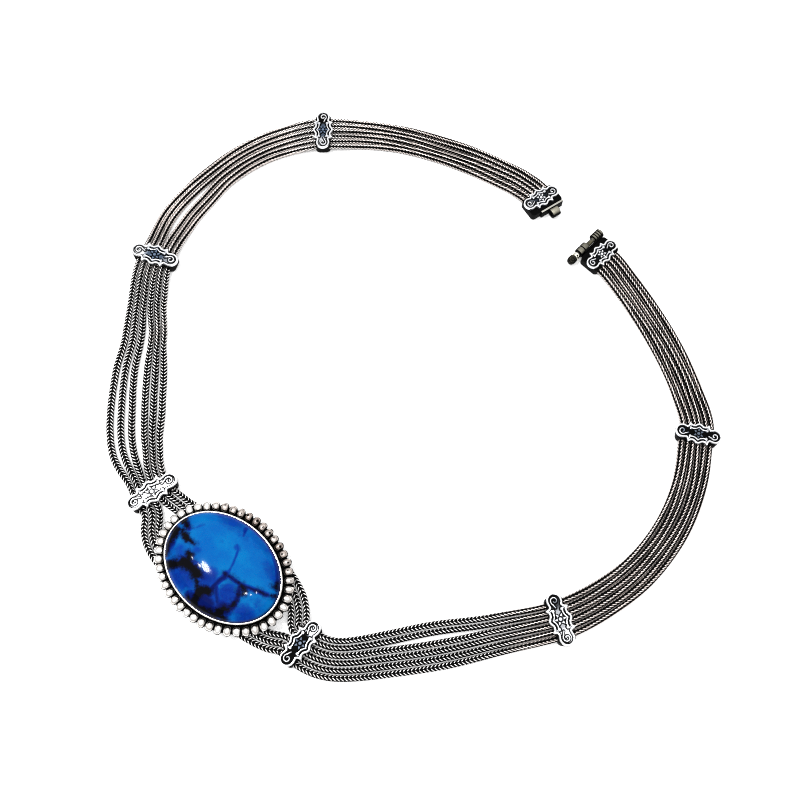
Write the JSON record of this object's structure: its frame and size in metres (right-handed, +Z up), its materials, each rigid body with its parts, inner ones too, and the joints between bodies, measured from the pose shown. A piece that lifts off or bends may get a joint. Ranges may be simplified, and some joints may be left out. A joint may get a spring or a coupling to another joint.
{
  "type": "multi-strand necklace",
  "caption": "Open necklace of parallel foxtail chains held by cartouche slides, with an oval blue stone in a beaded setting and a barrel and pin clasp.",
  "frame": {"origin": "on the table under the middle of the whole outline", "axes": "+Z up from the table, +Y towards the clasp side, +X towards the right end of the ribbon as the picture shows it"},
  "size_m": [0.1499, 0.1503, 0.0086],
  "materials": {
    "braided_silver": "oxidised silver wire, bright on the crowns and black between the links",
    "slide_silver": "oxidised silver, polished relief over a blue-black ground",
    "setting_silver": "polished silver bezel and beads with dark oxide between them",
    "blue_stone": "polished azure and royal blue stone with black veins",
    "pin_silver": "tarnished silver with an olive cast"
  },
  "bodies": {
    "necklace": {"chain_1": "braided_silver", "chain_2": "braided_silver", "chain_3": "braided_silver", "chain_4": "braided_silver", "chain_5": "braided_silver", "chain_6": "braided_silver", "slide_back_left": "slide_silver", "slide_side_left": "slide_silver", "slide_front_left": "slide_silver", "slide_front_right": "slide_silver", "slide_side_right": "slide_silver", "slide_back_right": "slide_silver", "pendant_setting": "setting_silver", "pendant_stone": "blue_stone", "clasp_end_left": "slide_silver", "clasp_end_right": "slide_silver"},
    "pin": {"clasp_pin": "pin_silver"}
  },
  "joints": [
    {"name": "clasp_pin_slide", "type": "slide", "parent": "necklace", "child": "pin", "axis": [-0.7009, -0.7133, 0], "range_m": [0, 0.006]}
  ]
}
